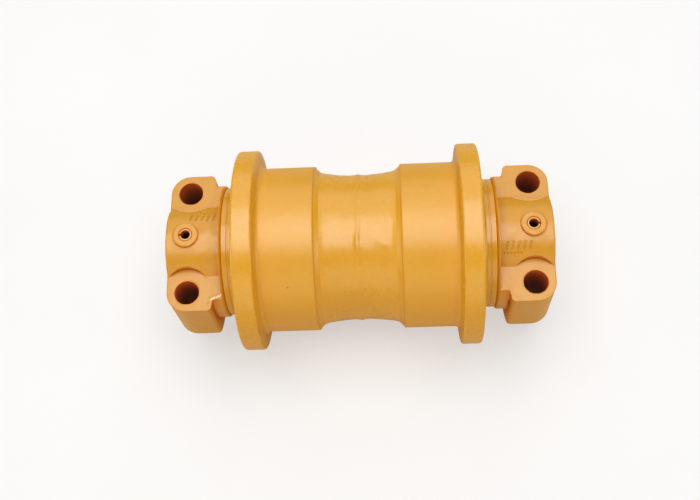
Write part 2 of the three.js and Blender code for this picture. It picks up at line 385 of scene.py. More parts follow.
def shell_wobble(X, T, R):
    """Weld ripple on the bead, and the slight unevenness of the forged waist. Turned faces stay true."""
    outside = R > 76
    waist = np.clip((44.0 - np.abs(X)) / 14.0, 0, 1) * outside
    wander = ring_noise(T, 5, [(2, 0.5), (3, 0.4), (5, 0.35)])
    bead = np.exp(-(((X - wander) / 2.6) ** 2)) * outside
    ripple = ring_noise(T, 11, [(31, 0.05), (43, 0.05), (53, 0.03), (9, 0.12), (4, 0.14)])
    d = bead * (0.1 + ripple)
    # witness line of the turning tool at the foot of each shoulder
    d = d + 0.22 * np.exp(-(((np.abs(X) - 38.6) / 0.9) ** 2)) * outside
    d = d + waist * (
        0.16 * np.sin(3 * T + X / 11.0) * np.sin(X / 8.0 + 1.3)
        + 0.10 * np.sin(7 * T - X / 6.0 + 0.7)
        + 0.06 * np.sin(15 * T + X / 4.0)
    )
    # a weld stop and a few spatter lumps
    for x0, a0, rad, h in (
        (1.6, 16.5, 1.5, -0.7),
        (21.5, 17.5, 3.2, 0.35),
        (27.5, 21.0, 3.0, 0.4),
        (16.0, 8.0, 3.0, 0.3),
        (-14.0, 61.0, 2.6, 0.4),
        (9.0, -120.0, 3.0, 0.5),
    ):
        t0 = math.radians(-a0)
        dt = (T - t0 + math.pi) % (2 * math.pi) - math.pi
        d = d + outside * h * np.exp(-(((X - x0) / rad) ** 2) - ((dt * 79 / rad) ** 2))
    # a run of weld metal beside the bead
    dt = (T + math.radians(19.0) + math.pi) % (2 * math.pi) - math.pi
    d = d + outside * 0.5 * np.exp(-(((X + 1.9) / 1.3) ** 2) - (dt * 79 / 9.0) ** 4)
    return d


def shell_profile():
    bead = [(-2.4, 79.6, 3.0), (0.0, 80.1, 2.0), (2.4, 79.6, 3.0)]
    pts = flip(OUTSIDE) + bead + OUTSIDE + INSIDE + flip(INSIDE)
    base = rounded(pts, True, arc_deg=9)
    out = []
    m = len(base)
    for i in range(m):
        a, b = base[i], base[(i + 1) % m]
        near_waist = abs((a + b)[0] / 2) < 46 and (a + b)[1] / 2 > 76
        span = np.linalg.norm(b - a)
        if near_waist:
            k = max(1, int(span / 2.3 + 0.5))
            cuts = [j / k for j in range(k)]
        elif span > 7.0:  # closer rings beside the corners, so that what is stored there fades out quickly
            cuts = [0, 1.0 / span, 2.6 / span, 0.5, 1 - 2.6 / span, 1 - 1.0 / span]
        else:
            cuts = [0]
        out.extend(a + (b - a) * c for c in cuts)
    return np.array(out)


def mark(ob, name, values):
    """Stores one number per vertex, for the paint to read."""
    ob.data.attributes.new(name, "FLOAT", "POINT").data.foreach_set("value", np.asarray(values, np.float32))


PROFILE = shell_profile()
SHELL_SEG = 240
shell = lathe("shell", PROFILE, seg=SHELL_SEG, wobble=shell_wobble, sharp=38)


def profile_shape(prof):
    """How closed-in each point of the turned profile is, 0 on an open face and near 1 at a tight root, and how much it
    stands out, 0 on a face and more on an edge."""
    step = np.roll(prof, -1, 0) - np.roll(prof, 1, 0)
    out = np.stack([-step[:, 1], step[:, 0]], 1)
    out /= np.linalg.norm(out, axis=1)[:, None]
    if polygon(*(prof + out * 0.05).T, prof).mean() < 0:
        out = -out
    c, e = np.zeros(len(prof)), np.zeros(len(prof))
    for d, w in ((2.0, 0.4), (5.0, 0.35), (11.0, 0.25)):
        q = prof + out * d
        c += w * np.clip((d - polygon(q[:, 0], q[:, 1], prof)) / d, 0, 1)
    for d, w in ((1.2, 0.5), (2.6, 0.5)):
        q = prof - out * d
        e += w * np.clip((d + polygon(q[:, 0], q[:, 1], prof)) / d, 0, 1)
    return c, e


CAVITY, RIDGE = profile_shape(PROFILE)
mark(shell, "cavity", np.repeat(CAVITY, SHELL_SEG))
mark(shell, "ridge", np.repeat(RIDGE, SHELL_SEG))
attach(shell, "roller")
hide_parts("roller_shell")

# ------------------------------------------------------------------ end collars


def bolt_chamfer(rad, z, r, face, size, up):
    """A 45 degree countersink where a round hole meets a flat face."""
    d = (z - face) if up else (face - z)
    return np.maximum((rad - (r + size) - d) * 0.7071, d - 2.0)


def collar_field(p):
    x, y, z = p
    r = np.sqrt(y * y + z * z)
    rough = (
        0.16 * np.sin(x / 5.1 + 1.0) * np.sin(y / 6.3 + z / 9.7)
        + 0.12 * np.sin(x / 2.9 - y / 3.7) * np.sin(z / 3.3 + 2.0)
    )
    grain = rough * np.clip((x - 148.5) / 3.5, 0, 1)
    disc = cyl_x(p, 72.4, 144.35, 156.6, 0.8)
    disc = smax(disc, (r - 70.3 - (x - 144.35)) * 0.7071, 0.8)
    ears = plate(p, 155.8, 206.8, 78.8, 0.5, 21.5, -49.0, 40.0, 1.6)
    slant = (155.8 - x) * 0.960 + (np.abs(y) - 66.0) * 0.281
    ears = smax(ears, slant, 4.0)
    cast = smin(disc, ears, 2.2) + 0.5 * grain
    core = np.maximum(np.maximum(np.abs(x - 156.0) - 6.0, np.abs(y) - 62.0), np.abs(z - 2.5) - 36.0)
    cast = np.minimum(cast, core)  # the disc and the ears are one piece of metal inside
    allowed = smin(z - 30.0, x - 147.2, 1.2)
    low = smax(cast, allowed, 1.0)
    barrel = cyl_x(p, 49.9, 144.35, 206.8, 1.8) + grain
    body = smin(barrel, low, 1.6)
    boss = cyl_z(p, 185.0, 0.0, 13.7, 30.0, 52.5, 1.7)
    body = smin(body, boss, 0.9)
    for sy in (-1, 1):
        rad = np.sqrt((x - 185.0) ** 2 + (y - sy * 58.0) ** 2)
        spot = np.maximum(rad - 26.2, 30.0 - z)
        body = smax(body, -spot, 0.5)
    under = np.maximum(np.maximum(np.abs(y) - 34.0, z + 46.0), 157.0 - x)
    body = smax(body, -under, 1.6)
    body = np.maximum(body, np.where(x < 158.0, -50.0, -49.0 - z))
    body = np.maximum(body, x - 206.9)
    inner = polygon(
        x,
        r,
        [
            (146.0, 30.0),
            (146.0, 62.5),
            (128.3, 62.5),
            (128.3, 59.8),
            (142.5, 57.8),
            (142.5, 46.5),
            (109.4, 46.5),
            (108.4, 45.5),
            (108.4, 30.0),
        ],
    )
    body = np.minimum(body, inner)
    bore = polygon(
        x,
        r,
        [
            (100.0, -5.0),
            (100.0, 36.3),
            (150.0, 36.3),
            (150.0, 40.6),
            (155.0, 40.6),
            (155.0, 36.3),
            (205.6, 36.3),
            (207.8, 38.5),
            (209.0, 38.5),
            (209.0, -5.0),
        ],
    )
    body = np.maximum(body, -bore)
    for sy in (-1, 1):
        rad = np.sqrt((x - 185.0) ** 2 + (y - sy * 58.0) ** 2)
        hole = np.minimum(rad - 13.1, bolt_chamfer(rad, z, 13.1, 30.0, 0.7, True))
        hole = np.minimum(hole, bolt_chamfer(rad, z, 13.1, -49.0, 0.7, False))
        body = np.maximum(body, -hole)
    rad = np.sqrt((x - 185.0) ** 2 + y * y)
    hole = np.minimum(rad - 7.15, bolt_chamfer(rad, z, 7.15, 52.5, 0.6, True))
    hole = np.minimum(hole, bolt_chamfer(rad, z, 7.15, -46.0, 0.8, False))
    return np.maximum(body, -hole)


COLLAR_CELL = 1.17
collar_r = contour(
    "collar_right", collar_field, (106.9, -80.3, -73.9), (208.3, 80.3, 73.9), COLLAR_CELL, sharp=40, cap=206.95
)


def field_shape(ob, field):
    """How closed-in each vertex is, from the distance field ahead of it, and how much it stands out, from the field
    behind it."""
    V = np.empty(len(ob.data.vertices) * 3)
    N = np.empty_like(V)
    ob.data.vertices.foreach_get("co", V)
    ob.data.vertex_normals.foreach_get("vector", N)
    V, N = V.reshape(-1, 3) / MM, N.reshape(-1, 3)
    c, e = np.zeros(len(V)), np.zeros(len(V))
    for d, w in ((1.5, 0.2), (3.5, 0.25), (8.0, 0.3), (14.0, 0.25)):
        q = V + N * d
        c += w * np.clip((d - field((q[:, 0], q[:, 1], q[:, 2]))) / d, 0, 1)
    c *= 1 - 0.8 * np.clip((N[:, 2] - 0.55) / 0.3, 0, 1)  # faces that look up, towards the lamps, count as open, so they get little painted shade
    for d, w in ((1.2, 0.5), (2.6, 0.5)):
        q = V - N * d
        e += w * np.clip((d + field((q[:, 0], q[:, 1], q[:, 2]))) / d, 0, 1)
    return c, e


CAVITY, RIDGE = field_shape(collar_r, collar_field)
mark(collar_r, "cavity", CAVITY)
mark(collar_r, "ridge", RIDGE)
collar_l = rotated_copy(collar_r, "collar_left")


def casting_flash(ob):
    """A torn line of flash left on one casting, along the front edge of its near bolt seat beside the disc."""
    me = ob.data
    V = np.empty(len(me.vertices) * 3)
    me.vertices.foreach_get("co", V)
    V = V.reshape(-1, 3) / MM
    a, b = np.array([-159.0, -66.6, 30.0]), np.array([-147.5, -61.5, 30.0])
    ab = b - a
    t = np.clip(((V - a) @ ab) / (ab @ ab), 0, 1)
    gap = np.linalg.norm(V - (a + t[:, None] * ab), axis=1)
    teeth = 0.55 + 0.3 * np.sin(V[:, 0] * 2.6) + 0.25 * np.sin(V[:, 0] * 5.3 + V[:, 1] * 3.1 + 1.0)
    near = np.clip(1 - gap / 1.9, 0, 1)
    V[:, 2] += np.where(V[:, 2] > 28.5, 1.3 * near * teeth, 0)
    me.vertices.foreach_set("co", (V * MM).ravel())
    me.update()
    # the mask along the flash, for its painted highlight
    mark(ob, "flash", near)


casting_flash(collar_l)
for ob, end in ((collar_l, "left"), (collar_r, "right")):
    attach(ob, "axle")
    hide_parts("end_collar_" + end)

# ------------------------------------------------------------------ locking pins


def spring_pin(name):
    """A rolled spring pin: a C section with tapered ends, its slit towards +X."""
    ro, ri, half = 6.8, 5.0, 1.25
    ao, ai = math.asin(half / ro), math.asin(half / ri)
    k = 72
    to = np.linspace(ao, 2 * math.pi - ao, k)
    ti = np.linspace(ai, 2 * math.pi - ai, k)
    z0, z1 = -45.5, 52.0
    rings = [
        (z0, ro - 0.95, ri + 0.12),
        (z0 + 0.25, ro - 0.7, ri),
        (z0 + 1.9, ro - 0.12, ri),
        (z0 + 3.0, ro, ri),
        (z1 - 3.0, ro, ri),
        (z1 - 0.9, ro, ri),
        (z1 - 0.25, ro - 0.12, ri),
        (z1, ro - 0.35, ri + 0.1),
    ]
    V = []
    for z, a, b in rings:
        V += [(185 + a * math.cos(t), a * math.sin(t), z) for t in to]
        V += [(185 + b * math.cos(t), b * math.sin(t), z) for t in ti]
    n = 2 * k
    faces = []
    for i in range(len(rings) - 1):
        p, q = i * n, (i + 1) * n
        for j in range(k - 1):
            faces.append([p + j, p + j + 1, q + j + 1, q + j])
            faces.append([p + k + j + 1, p + k + j, q + k + j, q + k + j + 1])
        faces.append([p + k, p, q, q + k])
        faces.append([p + k - 1, p + n - 1, q + n - 1, q + k - 1])
    last = (len(rings) - 1) * n
    for j in range(k - 1):
        faces.append([j + 1, j, k + j, k + j + 1])
        faces.append([last + j, last + j + 1, last + k + j + 1, last + k + j])
    return make_object(name, V, faces, 35)


pin_r = spring_pin("spring_pin_right")
pin_l = rotated_copy(pin_r, "spring_pin_left")
for ob, end in ((pin_l, "left"), (pin_r, "right")):
    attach(ob, "axle")
    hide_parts("locking_pin_" + end)

# ------------------------------------------------------------------ shaft and oil plug


def cut(ob, cutters):
    """Cuts closed tools out of a piece, keeps the result as its mesh and removes the tools."""
    for c in cutters:
        m = ob.modifiers.new("cut", "BOOLEAN")
        m.operation = "DIFFERENCE"
        m.solver = "EXACT"
        m.object = c
    bpy.context.view_layer.update()
    dg = bpy.context.evaluated_depsgraph_get()
    me = bpy.data.meshes.new_from_object(ob.evaluated_get(dg))
    ob.modifiers.clear()
    ob.data = me
    me.name = ob.name
    for c in cutters:
        bpy.data.objects.remove(c)
    me.polygons.foreach_set("use_smooth", np.full(len(me.polygons), True))
    me.set_sharp_from_angle(angle=math.radians(30))
    return ob


def round_tool(profile, place, seg=64):
    """A closed cutter: an open (x, r) profile turned about X, then placed by a matrix in mm."""
    t = lathe("tool", profile, seg, closed=False)
    place = place.copy()
    place.translation = place.translation * MM
    t.data.transform(place)
    return t


def at(x=0.0, y=0.0, z=0.0):
    return Matrix.Translation(Vector((x, y, z)))


UPRIGHT = Matrix.Rotation(-math.pi / 2, 4, "Y")  # +X to +Z
shaft = lathe(
    "axle_shaft",
    rounded(
        [
            (-205.5, 0),
            (-205.5, 34.0, 0.3),
            (-203.5, 36.0, 0.6),
            (203.5, 36.0, 0.6),
            (205.5, 34.0, 0.3),
            (205.5, 0),
        ],
        closed=False,
        line_step=30,
    ),
    seg=128,
    closed=False,
)
tools = []
for s in (-1, 1):
    tools.append(
        round_tool(
            [(-60, 0), (-60, 7.15), (60, 7.15), (60, 0)], at(s * 185.0) @ UPRIGHT, 48
        )
    )
    c = [(-9, 0), (-6, 1.6), (-3.5, 1.6), (0.6, 4.0), (1.5, 4.0), (1.5, 0)]
    m = at(205.5) if s > 0 else Matrix.Rotation(math.pi, 4, "Z") @ at(205.5)
    tools.append(round_tool(c, m, 40))
GY = 19.0
tools.append(
    round_tool(
        [
            (8, 0),
            (8, 5.0),
            (190, 5.0),
            (190, 8.8),
            (199.4, 8.8),
            (199.4, 11.1),
            (202, 11.1),
            (202, 12.0),
            (204.9, 12.0),
            (207, 14.1),
            (207, 0),
        ],
        at(0, GY, 0),
        56,
    )
)
tools.append(
    round_tool(
        [(0, 0), (0, 4.0), (24, 4.0), (24, 0)],
        at(13.0, GY, 0) @ Matrix.Rotation(math.pi / 2, 4, "Z"),
        32,
    )
)
cut(shaft, tools)
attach(shaft, "axle")
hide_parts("shaft")

plug = lathe(
    "filler_plug",
    rounded(
        [
            (190.6, 0),
            (190.6, 7.6, 0.4),
            (191.6, 8.5, 0.3),
            (202.2, 8.5, 0.3),
            (202.2, 10.5, 0.4),
            (205.2, 10.5, 0.9),
            (205.2, 0),
        ],
        closed=False,
    ),
    seg=72,
    closed=False,
)
plug.data.transform(at(0, GY * MM, 0))
hexes = [(-7, 0), (-7, 5.77), (2.0, 5.77), (2.0, 0)]
cut(
    plug,
    [
        round_tool(hexes, at(205.2, GY, 0), 6),
        round_tool([(-0.7, 0), (-0.7, 5.0), (1.0, 7.0), (1.0, 0)], at(205.2, GY, 0), 48),
        round_tool([(-9.2, 0), (-6.5, 4.6), (-6.5, 0)], at(205.2, GY, 0), 48),
    ],
)
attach(plug, "axle")
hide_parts("oil_plug")

plug_ring = torus("filler_plug_ring", 200.8, 9.75, 0.95, seg=72, sec=16)
plug_ring.data.transform(at(0, GY * MM, 0))
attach(plug_ring, "axle")
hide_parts("oil_plug_o_ring")

# ------------------------------------------------------------------ bushes and seals inside
INNER = {"bronze": [], "seal_iron": [], "nitrile": [plug_ring]}
for s, end in ((-1, "left"), (1, "right")):
    bush = lathe(
        "flanged_bush_" + end,
        rounded(
            [
                (26.0, 36.3, 0.8),
                (26.0, 40.8, 1.4),
                (101.0, 40.8, 0),
                (101.6, 40.3, 0),
                (103.2, 40.3, 0.2),
                (103.6, 40.8, 0),
                (104.0, 40.9, 0.2),
                (104.0, 46.0, 0.6),
                (108.0, 46.0, 0.8),
                (108.0, 36.3, 1.0),
            ],
            line_step=8,
        ),
        seg=144,
        side=s,
    )
    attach(bush, "roller")
    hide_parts("bush_" + end)
    INNER["bronze"].append(bush)
    ring = [
        (127.35, 47.8, 0.3),
        (127.35, 53.4, 0.0),
        (126.9, 57.0, 0.5),
        (123.4, 57.0, 0.5),
        (123.2, 51.6, 2.4),
        (115.0, 49.8, 0.8),
        (114.0, 47.8, 0.6),
    ]
    for kind, body in (("rotating", "roller"), ("fixed", "axle")):
        prof = ring if kind == "rotating" else [(255.0 - p[0], p[1], p[2]) for p in ring]
        o = lathe(f"face_seal_{kind}_{end}", rounded(prof, line_step=3), seg=160, side=s)
        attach(o, body)
        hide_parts(f"seal_ring_{kind}_{end}")
        INNER["seal_iron"].append(o)
        t = torus(
            f"load_ring_{kind}_{end}", 119.0 if kind == "rotating" else 136.0, 54.6, 3.55, side=s
        )
        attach(t, body)
        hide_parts(f"toric_ring_{kind}_{end}")
        INNER["nitrile"].append(t)
    t = torus("shaft_seal_" + end, 152.5, 38.4, 1.85, seg=128, sec=20, side=s)
    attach(t, "axle")
    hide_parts("shaft_o_ring_" + end)
    INNER["nitrile"].append(t)

# ------------------------------------------------------------------ materials


class Tree:
    """A material's node tree, with short calls for its nodes."""

    def __init__(self, name):
        self.mat = bpy.data.materials.new(name)
        self.mat.use_nodes = True
        self.t = self.mat.node_tree
        self.t.nodes.clear()
        self.out = self.node("ShaderNodeOutputMaterial")
        self.bsdf = self.node("ShaderNodeBsdfPrincipled")
        self.link(self.bsdf.outputs[0], self.out.inputs[0])
        self.coord = self.node("ShaderNodeTexCoord").outputs["Object"]

    def node(self, kind, **props):
        n = self.t.nodes.new(kind)
        for k, v in props.items():
            setattr(n, k, v)
        return n

    def link(self, a, b):
        self.t.links.new(a, b)

    def noise(self, scale, detail=3.0, rough=0.55, stretch=None, distortion=0.0):
        n = self.node("ShaderNodeTexNoise")
        n.inputs["Scale"].default_value = scale
        n.inputs["Detail"].default_value = detail
        n.inputs["Roughness"].default_value = rough
        n.inputs["Distortion"].default_value = distortion
        v = self.coord
        if stretch:
            m = self.node("ShaderNodeMapping")
            m.inputs["Scale"].default_value = stretch
            self.link(v, m.inputs["Vector"])
            v = m.outputs[0]
        self.link(v, n.inputs["Vector"])
        return n.outputs["Fac"]

    def ramp(self, fac, lo, hi, a=0.0, b=1.0):
        n = self.node("ShaderNodeMapRange")
        n.inputs["From Min"].default_value = lo
        n.inputs["From Max"].default_value = hi
        n.inputs["To Min"].default_value = a
        n.inputs["To Max"].default_value = b
        self.link(fac, n.inputs["Value"])
        return n.outputs["Result"]

    def math(self, op, a, b=None):
        n = self.node("ShaderNodeMath", operation=op)
        for i, v in enumerate((a, b)):
            if v is None:
                continue
            if isinstance(v, (int, float)):
                n.inputs[i].default_value = v
            else:
                self.link(v, n.inputs[i])
        return n.outputs[0]

    def mix(self, fac, a, b):
        n = self.node("ShaderNodeMix", data_type="RGBA")
        for sock, v in ((0, fac), (6, a), (7, b)):
            if isinstance(v, (int, float)):
                n.inputs[sock].default_value = v
            elif isinstance(v, tuple):
                n.inputs[sock].default_value = (*v, 1.0)
            else:
                self.link(v, n.inputs[sock])
        return n.outputs[2]

    def bump(self, height, distance, strength=1.0, normal=None):
        n = self.node("ShaderNodeBump")
        n.inputs["Strength"].default_value = strength
        n.inputs["Distance"].default_value = distance
        self.link(height, n.inputs["Height"])
        if normal is not None:
            self.link(normal, n.inputs["Normal"])
        return n.outputs[0]


def srgb(r, g, b):
    return tuple(((c / 255 + 0.055) / 1.055) ** 2.4 if c > 10 else c / 255 / 12.92 for c in (r, g, b))


GOLD = srgb(216, 154, 23)
GOLD_LIGHT = srgb(222, 161, 30)
# painted shade for the neck between flange and collar
GOLD_NECK_SHADE = srgb(217, 157, 12)
# painted shade: the deeper golds below stand in for shade in corners, roots, pits and punched grooves
GOLD_SHADE = srgb(206, 130, 12)
GOLD_SHADE_ROOT = srgb(194, 88, 4)
GOLD_SHADE_PIT = srgb(146, 54, 2)
GOLD_EDGE = srgb(212, 140, 12)
# painted shade inside the holes, from the top of the wall down into its depth
WELL_SHADE_TOP = srgb(216, 104, 7)
WELL_SHADE_DEEP = srgb(122, 46, 4)
WELL_SHADE_BLACK = srgb(34, 14, 6)


def paint(name, cast, turned, deep=(0.6, 0.6), light=GOLD_LIGHT, base=GOLD, gloss=(0.34, 0.42), sheen=0.8, wells=(), spots=(), neck=0.0, stamped=False):
    """Golden enamel. cast sets how far the casting's grain shows through, turned the lathe's rings. wells are holes
    along Z painted with shade that darkens with depth: each |x|, |y|, radius, the heights where the darkening starts
    and ends, and the colour at the end. spots are specks of dirt, each centre and radius. neck is the |x| past which
    the turned face is smoother, its colour a more saturated gold as painted shade. stamped adds the row of plain
    strokes and dots punched into the barrel. Lengths are in metres."""
    t = Tree(name)
    geo = t.node("ShaderNodeNewGeometry")
    xyz = t.node("ShaderNodeSeparateXYZ")
    t.link(t.coord, xyz.inputs[0])
    x, y, z = xyz.outputs
    ax = t.math("ABSOLUTE", x)
    broad = t.noise(14, 3, 0.6)
    fine = t.noise(170, 4, 0.6)
    tone = t.math("ADD", t.math("MULTIPLY", broad, 0.65), t.math("MULTIPLY", fine, 0.35))
    col = t.mix(t.ramp(tone, 0.36, 0.66), base, light)
    # painted shade: where the mesh's pointiness shows a hollow, the colour goes a deeper gold
    hollow_shade = t.ramp(geo.outputs["Pointiness"], 0.495, 0.455)
    col = t.mix(t.math("MULTIPLY", hollow_shade, deep[1] * (0.4 if neck else 1.0)), col, GOLD_SHADE)
    # closed-in places get painted shade, a deeper gold going to red-brown in tight roots and pits, and dust keeps the
    # gloss down
    att = t.node("ShaderNodeAttribute", attribute_name="cavity")
    closed = t.math("ADD", att.outputs["Fac"], t.math("MULTIPLY", t.math("SUBTRACT", broad, 0.5), 0.16))
    near = t.math("MULTIPLY", t.ramp(closed, 0.06, 0.28), deep[0])
    tight = t.math("MULTIPLY", t.ramp(closed, 0.22, 0.46), deep[1])
    pit = t.math("MULTIPLY", t.ramp(closed, 0.42, 0.70), deep[1])
    col = t.mix(near, col, GOLD_SHADE)
    col = t.mix(tight, col, GOLD_SHADE_ROOT)
    col = t.mix(pit, col, GOLD_SHADE_PIT)
    # along edges it pulls thin and goes deeper and duller
    att = t.node("ShaderNodeAttribute", attribute_name="ridge")
    patchy = t.ramp(t.noise(240, 3, 0.7), 0.3, 0.6, 0.55, 1.0)
    edge = t.math("MULTIPLY", t.ramp(att.outputs["Fac"], 0.05, 0.24), patchy)
    col = t.mix(t.math("MULTIPLY", edge, 0.75), col, GOLD_EDGE)
    rough = t.ramp(t.noise(60, 5, 0.65), 0.3, 0.7, *gloss)
    rings_here = None
    if neck:
        past = t.ramp(ax, neck - 0.001, neck + 0.001)
        rad = t.math("SQRT", t.math("ADD", t.math("MULTIPLY", y, y), t.math("MULTIPLY", z, z)))
        rough = t.math("SUBTRACT", rough, t.math("MULTIPLY", past, 0.24))
        rough = t.math("SUBTRACT", rough, t.ramp(rad, 0.100, 0.106, 0.0, 0.10))
        rough = t.math("SUBTRACT", rough, t.ramp(ax, 0.044, 0.040, 0.0, 0.09))
        # painted shade: past the neck the colour goes a more saturated gold, for the neck between flange and collar
        col = t.mix(t.math("MULTIPLY", past, 0.8), col, GOLD_NECK_SHADE)
        rings_here = t.ramp(past, 0.0, 1.0, 1.0, 0.3)
    rough = t.math("ADD", rough, t.math("MULTIPLY", near, 0.15))
    rough = t.math("ADD", rough, t.math("MULTIPLY", edge, 0.10))
    # painted shade in the holes: the wall darkens with depth, to near black in the pin's bore
    for wx, wy, wr, top, low, deepest_shade in wells:
        ay = t.math("ABSOLUTE", y)
        dx, dy = t.math("SUBTRACT", ax, wx), t.math("SUBTRACT", ay, wy)
        dist = t.math("SQRT", t.math("ADD", t.math("MULTIPLY", dx, dx), t.math("MULTIPLY", dy, dy)))
        inside = t.ramp(dist, wr + 0.0005, wr + 0.0001)
        down = t.ramp(z, top, low)
        col = t.mix(inside, col, t.mix(down, WELL_SHADE_TOP, deepest_shade))
        rough = t.math("MAXIMUM", rough, t.math("MULTIPLY", inside, 0.85))
    for sx, sy, sz, sr in spots:
        gap = t.node("ShaderNodeVectorMath", operation="DISTANCE")
        t.link(t.coord, gap.inputs[0])
        gap.inputs[1].default_value = (sx, sy, sz)
        col = t.mix(t.ramp(gap.outputs["Value"], sr, sr * 0.45, 0.0, 0.5), col, srgb(120, 70, 20))
    if cast:
        torn = t.node("ShaderNodeAttribute", attribute_name="flash")
        # painted highlight: the teeth of the torn flash are painted near white, as the glint along them; the flash
        # itself is real
        flash_glint = t.ramp(t.math("MULTIPLY", torn.outputs["Fac"], t.ramp(t.noise(700, 2, 0.6), 0.35, 0.6)), 0.15, 0.5)
        col = t.mix(flash_glint, col, srgb(252, 236, 205))
    n = t.bump(t.noise(620, 2, 0.5), 0.00006 if cast > 0.2 else 0.000025)
    if cast:
        n = t.bump(t.noise(260, 4, 0.7), 0.00022 * cast, normal=n)
        n = t.bump(t.noise(90, 3, 0.6, distortion=0.4), 0.0005 * cast, normal=n)
    if stamped:
        # around the barrel from the middle of the row, and along it; the other end's casting is turned half round
        side = t.math("MULTIPLY", y, t.math("SIGN", x))
        round_it = t.math("MULTIPLY", t.math("ADD", t.math("ARCTAN2", side, z), math.radians(26.0)), 0.050)
        along = t.math("SUBTRACT", ax, t.math("MULTIPLY", round_it, 0.25))
        gaps = []
        for first, pitch, count, mid, reach, half in (
            (0.1562, 0.0061, 5, 0.0, 0.0036, 0.0009),
            (0.1550, 0.0036, 6, -0.0084, 0.0004, 0.0006),
        ):
            k = t.math("ROUND", t.math("DIVIDE", t.math("SUBTRACT", along, first), pitch))
            k = t.math("MINIMUM", t.math("MAXIMUM", k, 0.0), count - 1.0)
            du = t.math("SUBTRACT", along, t.math("ADD", t.math("MULTIPLY", k, pitch), first))
            dv = t.math("SUBTRACT", t.math("ABSOLUTE", t.math("SUBTRACT", round_it, mid)), reach)
            dv = t.math("MAXIMUM", dv, 0.0)
            far = t.math("SQRT", t.math("ADD", t.math("MULTIPLY", du, du), t.math("MULTIPLY", dv, dv)))
            gaps.append(t.math("SUBTRACT", far, half))
        groove = t.math("MINIMUM", *gaps)
        punched = t.math("MULTIPLY", t.ramp(groove, 0.0003, -0.0004), t.ramp(z, 0.036, 0.037))
        n = t.bump(punched, 0.0007, strength=1.0, normal=n)
        n.node.invert = True
        # painted shade in the punched grooves
        col = t.mix(t.math("MULTIPLY", punched, 0.3), col, GOLD_SHADE_ROOT)
    if turned:
        # rings left by the lathe: across the width on round faces, and round the axis on flat ones
        rad = t.math("SQRT", t.math("ADD", t.math("MULTIPLY", y, y), t.math("MULTIPLY", z, z)))
        v = t.node("ShaderNodeCombineXYZ")
        t.link(t.math("MULTIPLY", x, 900.0), v.inputs[0])
        t.link(t.math("MULTIPLY", rad, 700.0), v.inputs[1])
        rings = t.node("ShaderNodeTexNoise")
        rings.inputs["Scale"].default_value = 1.0
        rings.inputs["Detail"].default_value = 3.0
        rings.inputs["Roughness"].default_value = 0.7
        t.link(v.outputs[0], rings.inputs["Vector"])
        height = rings.outputs["Fac"]
        if rings_here is not None:
            height = t.math("MULTIPLY", height, rings_here)
        n = t.bump(height, 0.00005 * turned, normal=n)
    t.link(col, t.bsdf.inputs["Base Color"])
    t.link(rough, t.bsdf.inputs["Roughness"])
    t.bsdf.inputs["IOR"].default_value = 1.5
    t.bsdf.inputs["Specular IOR Level"].default_value = sheen
    t.link(n, t.bsdf.inputs["Normal"])
    return t.mat


def metal(name, colour, rough, ring=0.0, grain=300, dark=0.7):
    t = Tree(name)
    v = t.noise(grain, 4, 0.6)
    c2 = tuple(c * dark for c in colour)
    t.link(t.mix(t.ramp(v, 0.35, 0.7), c2, colour), t.bsdf.inputs["Base Color"])
    t.bsdf.inputs["Metallic"].default_value = 1.0
    t.link(t.ramp(t.noise(40, 4, 0.6), 0.3, 0.7, rough * 0.8, rough * 1.25), t.bsdf.inputs["Roughness"])
    n = t.bump(t.noise(900, 2, 0.5), 0.00002)
    if ring:
        n = t.bump(t.noise(1.0, 3, 0.7, stretch=(2600, 4, 4)), 0.00003 * ring, normal=n)
    t.link(n, t.bsdf.inputs["Normal"])
    return t.mat


def rubber(name):
    t = Tree(name)
    t.link(t.mix(t.ramp(t.noise(240, 4), 0.35, 0.7), (0.011, 0.011, 0.012), (0.024, 0.024, 0.026)), t.bsdf.inputs["Base Color"])
    t.link(t.ramp(t.noise(120, 3), 0.3, 0.7, 0.5, 0.68), t.bsdf.inputs["Roughness"])
    t.link(t.bump(t.noise(1300, 3), 0.00004), t.bsdf.inputs["Normal"])
    return t.mat


def dress(ob, mat):
    ob.data.materials.clear()
    ob.data.materials.append(mat)


dress(shell, paint("shell_paint", 0.05, 1.0, deep=(0.12, 0.45), neck=0.131, spots=((-0.0739, -0.0668, 0.0603, 0.0016),)))
CAST = paint(
    "collar_paint",
    0.5,
    0.0,
    deep=(0.85, 0.9),
    gloss=(0.28, 0.36),
    sheen=0.75,
    wells=(
        (0.185, 0.058, 0.0131, 0.029, -0.012, WELL_SHADE_DEEP),
        (0.185, 0.0, 0.00715, 0.0515, 0.040, WELL_SHADE_BLACK),
    ),
    base=srgb(204, 142, 15),
    light=srgb(209, 149, 21),
    stamped=True,
)
dress(collar_l, CAST)
dress(collar_r, CAST)
PIN = paint("pin_paint", 0.1, 0.0, light=srgb(228, 174, 76), base=srgb(224, 164, 48), wells=((0.185, 0.0, 0.0051, 0.051, 0.041, WELL_SHADE_BLACK),))
dress(pin_l, PIN)
dress(pin_r, PIN)
END = paint("end_paint", 0.0, 0.6, base=srgb(204, 142, 15), light=srgb(209, 149, 21))
dress(shaft, metal("ground_steel", (0.56, 0.56, 0.57), 0.26, 1.0))
dress(plug, metal("plated_steel", (0.58, 0.54, 0.42), 0.32))
